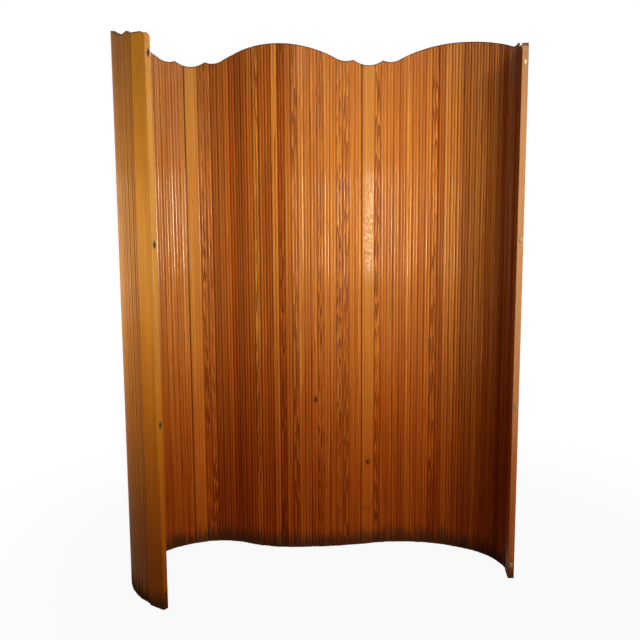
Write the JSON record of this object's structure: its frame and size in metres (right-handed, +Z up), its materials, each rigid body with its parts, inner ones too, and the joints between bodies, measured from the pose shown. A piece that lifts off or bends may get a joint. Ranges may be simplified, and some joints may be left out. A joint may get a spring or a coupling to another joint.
{
  "type": "roller screen",
  "caption": "Free-standing wooden roller screen with a scalloped top: reeded upright slats strung on steel cables between two end boards, which stands in a curve and rolls up.",
  "frame": {"origin": "middle of the foot of the right wide slat, on the floor", "axes": "+Z up along the slats, -Y towards the front, the hollow side, +X to the right seen from the front"},
  "size_m": [1.448, 0.6243, 2],
  "materials": {
    "pine_slats": "gloss varnish",
    "pine_wide_slats": "gloss varnish",
    "pine_end_boards": "gloss varnish",
    "brass": "tarnished",
    "steel": "stranded wire"
  },
  "bodies": {
    "left_end_board": {"left_end_board": "pine_end_boards", "left_cable_stops": "steel", "left_cover_plates": "brass", "left_plate_pins": "brass"},
    "left_bay_slats_01": {"left_bay_slats_01": "pine_slats"},
    "left_bay_slats_02": {"left_bay_slats_02": "pine_slats"},
    "left_bay_slats_03": {"left_bay_slats_03": "pine_slats"},
    "left_bay_slats_04": {"left_bay_slats_04": "pine_slats"},
    "left_bay_slats_05": {"left_bay_slats_05": "pine_slats"},
    "left_bay_slats_06": {"left_bay_slats_06": "pine_slats"},
    "left_bay_slats_07": {"left_bay_slats_07": "pine_slats"},
    "left_bay_slats_08": {"left_bay_slats_08": "pine_slats"},
    "left_bay_slats_09": {"left_bay_slats_09": "pine_slats"},
    "left_bay_slats_10": {"left_bay_slats_10": "pine_slats"},
    "left_bay_slats_11": {"left_bay_slats_11": "pine_slats"},
    "left_bay_slats_12": {"left_bay_slats_12": "pine_slats"},
    "left_bay_slats_13": {"left_bay_slats_13": "pine_slats"},
    "left_wide_slat": {"left_wide_slat": "pine_wide_slats"},
    "middle_bay_slats_01": {"middle_bay_slats_01": "pine_slats"},
    "middle_bay_slats_02": {"middle_bay_slats_02": "pine_slats"},
    "middle_bay_slats_03": {"middle_bay_slats_03": "pine_slats"},
    "middle_bay_slats_04": {"middle_bay_slats_04": "pine_slats"},
    "middle_bay_slats_05": {"middle_bay_slats_05": "pine_slats"},
    "middle_bay_slats_06": {"middle_bay_slats_06": "pine_slats"},
    "middle_bay_slats_07": {"middle_bay_slats_07": "pine_slats"},
    "middle_bay_slats_08": {"middle_bay_slats_08": "pine_slats"},
    "middle_bay_slats_09": {"middle_bay_slats_09": "pine_slats"},
    "middle_bay_slats_10": {"middle_bay_slats_10": "pine_slats"},
    "middle_bay_slats_11": {"middle_bay_slats_11": "pine_slats"},
    "middle_bay_slats_12": {"middle_bay_slats_12": "pine_slats"},
    "middle_bay_slats_13": {"middle_bay_slats_13": "pine_slats"},
    "right_wide_slat": {"right_wide_slat": "pine_wide_slats", "cable_1": "steel", "cable_2": "steel", "cable_3": "steel", "cable_4": "steel"},
    "right_bay_slats_01": {"right_bay_slats_01": "pine_slats"},
    "right_bay_slats_02": {"right_bay_slats_02": "pine_slats"},
    "right_bay_slats_03": {"right_bay_slats_03": "pine_slats"},
    "right_bay_slats_04": {"right_bay_slats_04": "pine_slats"},
    "right_bay_slats_05": {"right_bay_slats_05": "pine_slats"},
    "right_bay_slats_06": {"right_bay_slats_06": "pine_slats"},
    "right_bay_slats_07": {"right_bay_slats_07": "pine_slats"},
    "right_bay_slats_08": {"right_bay_slats_08": "pine_slats"},
    "right_bay_slats_09": {"right_bay_slats_09": "pine_slats"},
    "right_bay_slats_10": {"right_bay_slats_10": "pine_slats"},
    "right_bay_slats_11": {"right_bay_slats_11": "pine_slats"},
    "right_bay_slats_12": {"right_bay_slats_12": "pine_slats"},
    "right_bay_slats_13": {"right_bay_slats_13": "pine_slats"},
    "right_end_board": {"right_end_board": "pine_end_boards", "right_cable_stops": "steel", "right_cover_plates": "brass", "right_plate_pins": "brass"}
  },
  "joints": [
    {"name": "left_bay_hinge_01", "type": "hinge", "parent": "left_bay_slats_01", "child": "left_end_board", "pos_m": [-0.78669, -0.53231, 0], "axis": [0, 0, 1], "range_deg": [-30.3, 12.7]},
    {"name": "left_bay_hinge_02", "type": "hinge", "parent": "left_bay_slats_02", "child": "left_bay_slats_01", "pos_m": [-0.82205, -0.49696, 0], "axis": [0, 0, 1], "range_deg": [-30.14, 12.54]},
    {"name": "left_bay_hinge_03", "type": "hinge", "parent": "left_bay_slats_03", "child": "left_bay_slats_02", "pos_m": [-0.85158, -0.45661, 0], "axis": [0, 0, 1], "range_deg": [-29.86, 12.26]},
    {"name": "left_bay_hinge_04", "type": "hinge", "parent": "left_bay_slats_04", "child": "left_bay_slats_03", "pos_m": [-0.87459, -0.41222, 0], "axis": [0, 0, 1], "range_deg": [-29.59, 11.99]},
    {"name": "left_bay_hinge_05", "type": "hinge", "parent": "left_bay_slats_05", "child": "left_bay_slats_04", "pos_m": [-0.89054, -0.36483, 0], "axis": [0, 0, 1], "range_deg": [-29.34, 11.74]},
    {"name": "left_bay_hinge_06", "type": "hinge", "parent": "left_bay_slats_06", "child": "left_bay_slats_05", "pos_m": [-0.89905, -0.31556, 0], "axis": [0, 0, 1], "range_deg": [-29.09, 11.49]},
    {"name": "left_bay_hinge_07", "type": "hinge", "parent": "left_bay_slats_07", "child": "left_bay_slats_06", "pos_m": [-0.89992, -0.26557, 0], "axis": [0, 0, 1], "range_deg": [-28.85, 11.25]},
    {"name": "left_bay_hinge_08", "type": "hinge", "parent": "left_bay_slats_08", "child": "left_bay_slats_07", "pos_m": [-0.89314, -0.21603, 0], "axis": [0, 0, 1], "range_deg": [-28.62, 11.02]},
    {"name": "left_bay_hinge_09", "type": "hinge", "parent": "left_bay_slats_09", "child": "left_bay_slats_08", "pos_m": [-0.87885, -0.16811, 0], "axis": [0, 0, 1], "range_deg": [-28.4, 10.8]},
    {"name": "left_bay_hinge_10", "type": "hinge", "parent": "left_bay_slats_10", "child": "left_bay_slats_09", "pos_m": [-0.8574, -0.12294, 0], "axis": [0, 0, 1], "range_deg": [-28.18, 10.58]},
    {"name": "left_bay_hinge_11", "type": "hinge", "parent": "left_bay_slats_11", "child": "left_bay_slats_10", "pos_m": [-0.8293, -0.08159, 0], "axis": [0, 0, 1], "range_deg": [-27.97, 10.37]},
    {"name": "left_bay_hinge_12", "type": "hinge", "parent": "left_bay_slats_12", "child": "left_bay_slats_11", "pos_m": [-0.7952, -0.04502, 0], "axis": [0, 0, 1], "range_deg": [-27.77, 10.17]},
    {"name": "left_bay_hinge_13", "type": "hinge", "parent": "left_bay_slats_13", "child": "left_bay_slats_12", "pos_m": [-0.75591, -0.0141, 0], "axis": [0, 0, 1], "range_deg": [-27.58, 9.98]},
    {"name": "left_bay_hinge_14", "type": "hinge", "parent": "left_wide_slat", "child": "left_bay_slats_13", "pos_m": [-0.71235, 0.01044, 0], "axis": [0, 0, 1], "range_deg": [-28.13, 10.53]},
    {"name": "middle_bay_hinge_01", "type": "hinge", "parent": "middle_bay_slats_01", "child": "left_wide_slat", "pos_m": [-0.6618, 0.02944, 0], "axis": [0, 0, 1], "range_deg": [-30.92, 7.32]},
    {"name": "middle_bay_hinge_02", "type": "hinge", "parent": "middle_bay_slats_02", "child": "middle_bay_slats_01", "pos_m": [-0.61239, 0.03709, 0], "axis": [0, 0, 1], "range_deg": [-30.01, 6.41]},
    {"name": "middle_bay_hinge_03", "type": "hinge", "parent": "middle_bay_slats_03", "child": "middle_bay_slats_02", "pos_m": [-0.56246, 0.03447, 0], "axis": [0, 0, 1], "range_deg": [-29.84, 6.24]},
    {"name": "middle_bay_hinge_04", "type": "hinge", "parent": "middle_bay_slats_04", "child": "middle_bay_slats_03", "pos_m": [-0.51411, 0.0217, 0], "axis": [0, 0, 1], "range_deg": [-29.67, 6.07]},
    {"name": "middle_bay_hinge_05", "type": "hinge", "parent": "middle_bay_slats_05", "child": "middle_bay_slats_04", "pos_m": [-0.46941, -0.00069, 0], "axis": [0, 0, 1], "range_deg": [-11.1, 24.3]},
    {"name": "middle_bay_hinge_06", "type": "hinge", "parent": "middle_bay_slats_06", "child": "middle_bay_slats_05", "pos_m": [-0.42242, -0.01779, 0], "axis": [0, 0, 1], "range_deg": [-10.95, 24.15]},
    {"name": "middle_bay_hinge_07", "type": "hinge", "parent": "middle_bay_slats_07", "child": "middle_bay_slats_06", "pos_m": [-0.37378, -0.02937, 0], "axis": [0, 0, 1], "range_deg": [-10.79, 23.99]},
    {"name": "middle_bay_hinge_08", "type": "hinge", "parent": "middle_bay_slats_08", "child": "middle_bay_slats_07", "pos_m": [-0.32414, -0.03529, 0], "axis": [0, 0, 1], "range_deg": [-10.64, 23.84]},
    {"name": "middle_bay_hinge_09", "type": "hinge", "parent": "middle_bay_slats_09", "child": "middle_bay_slats_08", "pos_m": [-0.27414, -0.03547, 0], "axis": [0, 0, 1], "range_deg": [-14.79, 19.39]},
    {"name": "middle_bay_hinge_10", "type": "hinge", "parent": "middle_bay_slats_10", "child": "middle_bay_slats_09", "pos_m": [-0.22417, -0.03364, 0], "axis": [0, 0, 1], "range_deg": [-14.65, 19.25]},
    {"name": "middle_bay_hinge_11", "type": "hinge", "parent": "middle_bay_slats_11", "child": "middle_bay_slats_10", "pos_m": [-0.17432, -0.0298, 0], "axis": [0, 0, 1], "range_deg": [-14.51, 19.11]},
    {"name": "middle_bay_hinge_12", "type": "hinge", "parent": "middle_bay_slats_12", "child": "middle_bay_slats_11", "pos_m": [-0.12466, -0.02397, 0], "axis": [0, 0, 1], "range_deg": [-14.37, 18.97]},
    {"name": "middle_bay_hinge_13", "type": "hinge", "parent": "middle_bay_slats_13", "child": "middle_bay_slats_12", "pos_m": [-0.07527, -0.01615, 0], "axis": [0, 0, 1], "range_deg": [-14.24, 18.84]},
    {"name": "middle_bay_hinge_14", "type": "hinge", "parent": "right_wide_slat", "child": "middle_bay_slats_13", "pos_m": [-0.02624, -0.00635, 0], "axis": [0, 0, 1], "range_deg": [-14.77, 19.37], "deforming": ["cable_1", "cable_2", "cable_3", "cable_4"]},
    {"name": "right_bay_hinge_01", "type": "hinge", "parent": "right_wide_slat", "child": "right_bay_slats_01", "pos_m": [0.02624, 0.00635, 0], "axis": [0, 0, -1], "range_deg": [-22.02, 11.82], "deforming": ["cable_1", "cable_2", "cable_3", "cable_4"]},
    {"name": "right_bay_hinge_02", "type": "hinge", "parent": "right_bay_slats_01", "child": "right_bay_slats_02", "pos_m": [0.07569, 0.01374, 0], "axis": [0, 0, -1], "range_deg": [-21.25, 11.05]},
    {"name": "right_bay_hinge_03", "type": "hinge", "parent": "right_bay_slats_02", "child": "right_bay_slats_03", "pos_m": [0.12561, 0.01671, 0], "axis": [0, 0, -1], "range_deg": [-21.13, 10.93]},
    {"name": "right_bay_hinge_04", "type": "hinge", "parent": "right_bay_slats_03", "child": "right_bay_slats_04", "pos_m": [0.17558, 0.01522, 0], "axis": [0, 0, -1], "range_deg": [-21.01, 10.81]},
    {"name": "right_bay_hinge_05", "type": "hinge", "parent": "right_bay_slats_04", "child": "right_bay_slats_05", "pos_m": [0.22523, 0.0093, 0], "axis": [0, 0, -1], "range_deg": [-21.89, 9.69]},
    {"name": "right_bay_hinge_06", "type": "hinge", "parent": "right_bay_slats_05", "child": "right_bay_slats_06", "pos_m": [0.27397, -0.00186, 0], "axis": [0, 0, -1], "range_deg": [-21.78, 9.58]},
    {"name": "right_bay_hinge_07", "type": "hinge", "parent": "right_bay_slats_06", "child": "right_bay_slats_07", "pos_m": [0.32125, -0.01814, 0], "axis": [0, 0, -1], "range_deg": [-21.67, 9.47]},
    {"name": "right_bay_hinge_08", "type": "hinge", "parent": "right_bay_slats_07", "child": "right_bay_slats_08", "pos_m": [0.36652, -0.03935, 0], "axis": [0, 0, -1], "range_deg": [-21.56, 9.36]},
    {"name": "right_bay_hinge_09", "type": "hinge", "parent": "right_bay_slats_08", "child": "right_bay_slats_09", "pos_m": [0.40929, -0.06525, 0], "axis": [0, 0, -1], "range_deg": [-21.45, 9.25]},
    {"name": "right_bay_hinge_10", "type": "hinge", "parent": "right_bay_slats_09", "child": "right_bay_slats_10", "pos_m": [0.44907, -0.09555, 0], "axis": [0, 0, -1], "range_deg": [-26.55, 3.95]},
    {"name": "right_bay_hinge_11", "type": "hinge", "parent": "right_bay_slats_10", "child": "right_bay_slats_11", "pos_m": [0.48213, -0.13306, 0], "axis": [0, 0, -1], "range_deg": [-26.45, 3.85]},
    {"name": "right_bay_hinge_12", "type": "hinge", "parent": "right_bay_slats_11", "child": "right_bay_slats_12", "pos_m": [0.50721, -0.17631, 0], "axis": [0, 0, -1], "range_deg": [-26.35, 3.75]},
    {"name": "right_bay_hinge_13", "type": "hinge", "parent": "right_bay_slats_12", "child": "right_bay_slats_13", "pos_m": [0.52332, -0.22365, 0], "axis": [0, 0, -1], "range_deg": [-26.25, 3.65]},
    {"name": "right_bay_hinge_14", "type": "hinge", "parent": "right_bay_slats_13", "child": "right_end_board", "pos_m": [0.52985, -0.27322, 0], "axis": [0, 0, -1], "range_deg": [-28.83, 6.23]}
  ]
}
